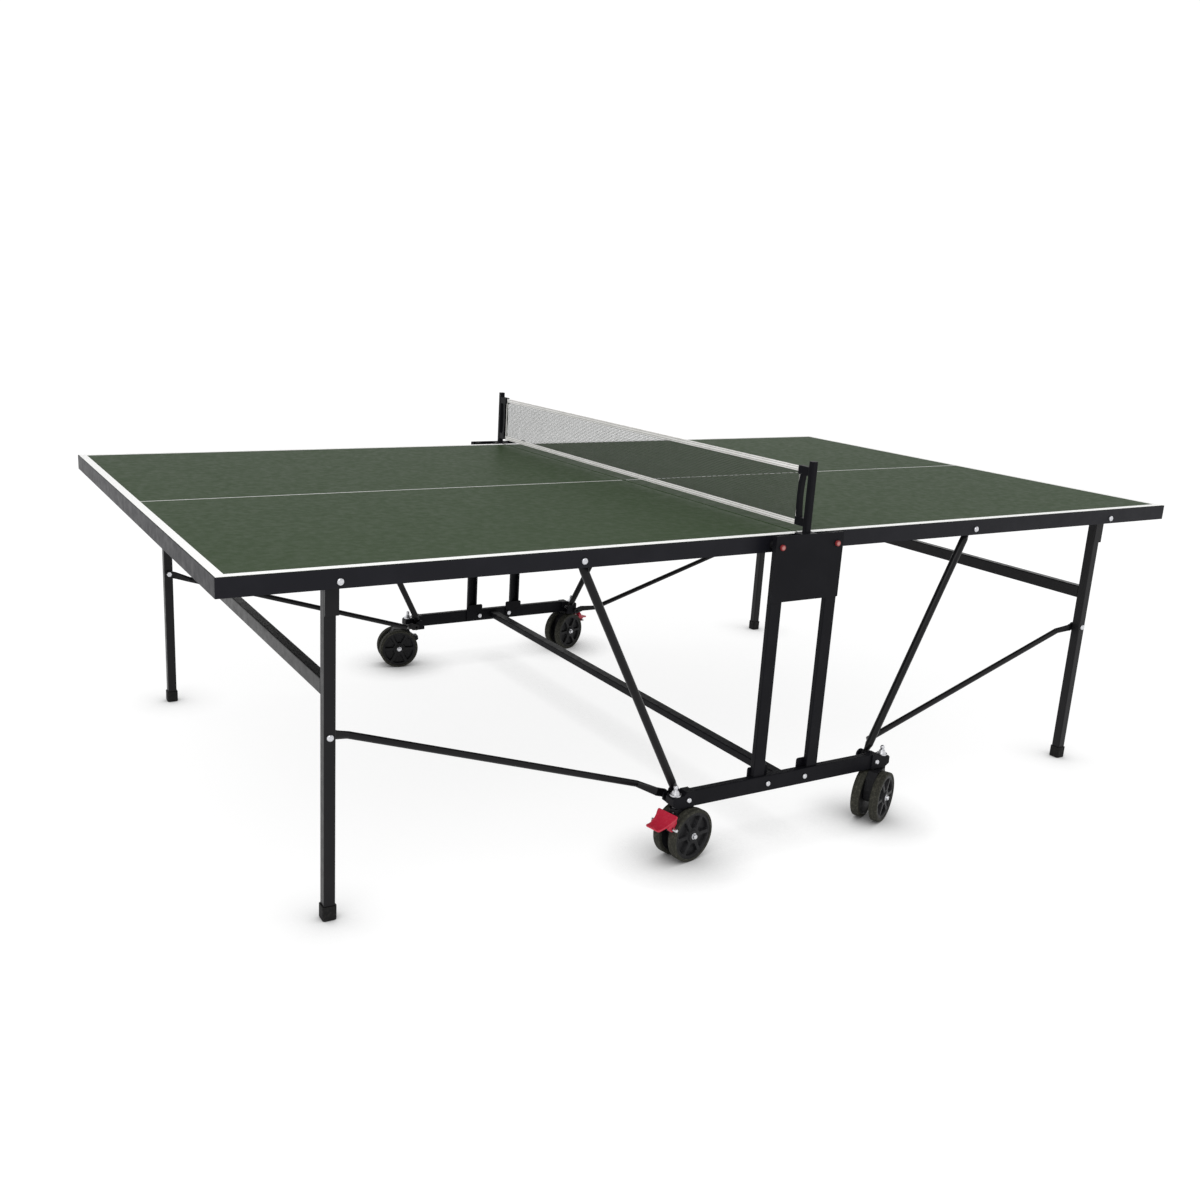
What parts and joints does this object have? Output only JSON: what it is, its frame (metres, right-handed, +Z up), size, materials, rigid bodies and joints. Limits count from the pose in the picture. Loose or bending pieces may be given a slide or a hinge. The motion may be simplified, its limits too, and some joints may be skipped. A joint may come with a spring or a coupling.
{
  "type": "folding table tennis table",
  "caption": "Folding table tennis table with a wheeled centre chassis, folding legs, steel aprons and a net on posts.",
  "frame": {"origin": "on the floor under the middle of the net, at the centre of the table", "axes": "+X along the table's length towards the right half, +Y across it towards the far side, +Z up"},
  "size_m": [2.74, 1.7112, 0.931],
  "materials": {
    "board_lacquer": "dark green lacquered board, fine matte grain, with white painted lines",
    "apron_lacquer": "black satin powder coat",
    "frame_lacquer": "black satin powder coat",
    "tube_lacquer": "black satin powder coat",
    "zinc": "zinc plated steel",
    "black_nylon": "black moulded nylon",
    "foot_rubber": "black rubber",
    "wheel_plastic": "dark grey wheel plastic and tread",
    "pedal_red": "red moulded plastic",
    "button_red": "red moulded plastic",
    "net_mesh": "knotted grey net with white bands"
  },
  "bodies": {
    "chassis": {"rail_near": "frame_lacquer", "rail_far": "frame_lacquer", "side_plate_near": "frame_lacquer", "side_plate_far": "frame_lacquer", "guide_posts_near": "frame_lacquer", "guide_posts_far": "frame_lacquer", "foot_brackets": "frame_lacquer", "cross_member": "frame_lacquer", "caster_brackets_near": "frame_lacquer", "caster_brackets_far": "frame_lacquer", "frame_bolts": "zinc", "net_post_near": "frame_lacquer", "net_post_far": "frame_lacquer", "net": "net_mesh"},
    "slider_left": {"sliders_left": "black_nylon"},
    "half_left": {"board_left": "board_lacquer", "apron_left_near": "apron_lacquer", "apron_left_far": "apron_lacquer", "apron_left_end": "apron_lacquer", "cross_bars_left": "tube_lacquer", "apron_bolts_left": "zinc"},
    "legs_left": {"leg_left_near": "tube_lacquer", "leg_left_far": "tube_lacquer", "leg_crossbar_left": "tube_lacquer", "feet_left": "foot_rubber", "link_bolts_left": "zinc"},
    "struts_left": {"strut_left_near": "tube_lacquer", "strut_left_far": "tube_lacquer"},
    "link_rods_left": {"link_rod_left_near": "tube_lacquer", "link_rod_left_far": "tube_lacquer"},
    "lock_button_left_near": {"lock_button_left_near": "button_red"},
    "lock_button_left_far": {"lock_button_left_far": "button_red"},
    "slider_right": {"sliders_right": "black_nylon"},
    "half_right": {"board_right": "board_lacquer", "apron_right_near": "apron_lacquer", "apron_right_far": "apron_lacquer", "apron_right_end": "apron_lacquer", "cross_bars_right": "tube_lacquer", "apron_bolts_right": "zinc"},
    "legs_right": {"leg_right_near": "tube_lacquer", "leg_right_far": "tube_lacquer", "leg_crossbar_right": "tube_lacquer", "feet_right": "foot_rubber", "link_bolts_right": "zinc"},
    "struts_right": {"strut_right_near": "tube_lacquer", "strut_right_far": "tube_lacquer"},
    "link_rods_right": {"link_rod_right_near": "tube_lacquer", "link_rod_right_far": "tube_lacquer"},
    "lock_button_right_near": {"lock_button_right_near": "button_red"},
    "lock_button_right_far": {"lock_button_right_far": "button_red"},
    "caster_near_left": {"caster_housing_near_left": "black_nylon"},
    "wheels_near_left": {"caster_wheels_near_left": "wheel_plastic"},
    "pedal_near_left": {"brake_pedal_near_left": "pedal_red"},
    "caster_near_right": {"caster_housing_near_right": "black_nylon"},
    "wheels_near_right": {"caster_wheels_near_right": "wheel_plastic"},
    "caster_far_left": {"caster_housing_far_left": "black_nylon"},
    "wheels_far_left": {"caster_wheels_far_left": "wheel_plastic"},
    "caster_far_right": {"caster_housing_far_right": "black_nylon"},
    "wheels_far_right": {"caster_wheels_far_right": "wheel_plastic"},
    "pedal_far_right": {"brake_pedal_far_right": "pedal_red"}
  },
  "joints": [
    {"name": "slide_left", "type": "slide", "parent": "chassis", "child": "slider_left", "axis": [0, 0, -1], "range_m": [0, 0.4768]},
    {"name": "fold_left", "type": "hinge", "parent": "slider_left", "child": "half_left", "pos_m": [-0.0835, 0, 0.738], "axis": [0, 1, 0], "range_deg": [0, 90]},
    {"name": "leg_swing_left", "type": "hinge", "parent": "half_left", "child": "legs_left", "pos_m": [-1.133, 0, 0.734], "axis": [0, -1, 0], "range_deg": [0, 87.82]},
    {"name": "strut_swing_left", "type": "hinge", "parent": "half_left", "child": "struts_left", "pos_m": [-0.592, 0, 0.735], "axis": [0, -1, 0], "range_deg": [0, 44.34]},
    {"name": "link_rod_swing_left", "type": "hinge", "parent": "legs_left", "child": "link_rods_left", "pos_m": [-1.14, 0, 0.405], "axis": [0, 1, 0], "range_deg": [0, 84.47]},
    {"name": "lock_button_left_near_press", "type": "slide", "parent": "chassis", "child": "lock_button_left_near", "axis": [0, 1, 0], "range_m": [0, 0.003], "stiffness_N_per_m": 150, "springref_m": -0.002},
    {"name": "lock_button_left_far_press", "type": "slide", "parent": "chassis", "child": "lock_button_left_far", "axis": [0, -1, 0], "range_m": [0, 0.003], "stiffness_N_per_m": 150, "springref_m": -0.002},
    {"name": "slide_right", "type": "slide", "parent": "chassis", "child": "slider_right", "axis": [0, 0, -1], "range_m": [0, 0.4768]},
    {"name": "fold_right", "type": "hinge", "parent": "slider_right", "child": "half_right", "pos_m": [0.0835, 0, 0.738], "axis": [0, -1, 0], "range_deg": [0, 90]},
    {"name": "leg_swing_right", "type": "hinge", "parent": "half_right", "child": "legs_right", "pos_m": [1.133, 0, 0.734], "axis": [0, 1, 0], "range_deg": [0, 87.82]},
    {"name": "strut_swing_right", "type": "hinge", "parent": "half_right", "child": "struts_right", "pos_m": [0.592, 0, 0.735], "axis": [0, 1, 0], "range_deg": [0, 44.34]},
    {"name": "link_rod_swing_right", "type": "hinge", "parent": "legs_right", "child": "link_rods_right", "pos_m": [1.14, 0, 0.405], "axis": [0, -1, 0], "range_deg": [0, 84.47]},
    {"name": "lock_button_right_near_press", "type": "slide", "parent": "chassis", "child": "lock_button_right_near", "axis": [0, 1, 0], "range_m": [0, 0.003], "stiffness_N_per_m": 150, "springref_m": -0.002},
    {"name": "lock_button_right_far_press", "type": "slide", "parent": "chassis", "child": "lock_button_right_far", "axis": [0, -1, 0], "range_m": [0, 0.003], "stiffness_N_per_m": 150, "springref_m": -0.002},
    {"name": "swivel_near_left", "type": "hinge", "parent": "chassis", "child": "caster_near_left", "pos_m": [-0.325, -0.792, 0.131], "axis": [0, 0, 1], "continuous": true},
    {"name": "roll_near_left", "type": "hinge", "parent": "caster_near_left", "child": "wheels_near_left", "pos_m": [-0.29064, -0.78532, 0.065], "axis": [-0.1908, 0.9816, 0], "continuous": true},
    {"name": "brake_near_left", "type": "hinge", "parent": "caster_near_left", "child": "pedal_near_left", "pos_m": [-0.35445, -0.79772, 0.097], "axis": [0.1908, -0.9816, 0], "range_deg": [0, 14]},
    {"name": "swivel_near_right", "type": "hinge", "parent": "chassis", "child": "caster_near_right", "pos_m": [0.325, -0.792, 0.131], "axis": [0, 0, 1], "continuous": true},
    {"name": "roll_near_right", "type": "hinge", "parent": "caster_near_right", "child": "wheels_near_right", "pos_m": [0.29354, -0.80734, 0.065], "axis": [0.4384, -0.8988, 0], "continuous": true},
    {"name": "swivel_far_left", "type": "hinge", "parent": "chassis", "child": "caster_far_left", "pos_m": [-0.325, 0.792, 0.131], "axis": [0, 0, 1], "continuous": true},
    {"name": "roll_far_left", "type": "hinge", "parent": "caster_far_left", "child": "wheels_far_left", "pos_m": [-0.35936, 0.79868, 0.065], "axis": [-0.1908, -0.9816, 0], "continuous": true},
    {"name": "swivel_far_right", "type": "hinge", "parent": "chassis", "child": "caster_far_right", "pos_m": [0.325, 0.792, 0.131], "axis": [0, 0, 1], "continuous": true},
    {"name": "roll_far_right", "type": "hinge", "parent": "caster_far_right", "child": "wheels_far_right", "pos_m": [0.29191, 0.7806, 0.065], "axis": [0.3256, -0.9455, 0], "continuous": true},
    {"name": "brake_far_right", "type": "hinge", "parent": "caster_far_right", "child": "pedal_far_right", "pos_m": [0.35337, 0.80177, 0.097], "axis": [-0.3256, 0.9455, 0], "range_deg": [0, 14]}
  ],
  "couplings": [
    {"joint": "slide_left", "follows": "fold_left", "m_per_rad": 0.30352},
    {"joint": "leg_swing_left", "follows": "fold_left", "ratio": 0.97572},
    {"joint": "strut_swing_left", "follows": "fold_left", "ratio": 0.49265},
    {"joint": "link_rod_swing_left", "follows": "fold_left", "ratio": 0.93847},
    {"joint": "slide_right", "follows": "fold_right", "m_per_rad": 0.30352},
    {"joint": "leg_swing_right", "follows": "fold_right", "ratio": 0.97572},
    {"joint": "strut_swing_right", "follows": "fold_right", "ratio": 0.49265},
    {"joint": "link_rod_swing_right", "follows": "fold_right", "ratio": 0.93847}
  ]
}
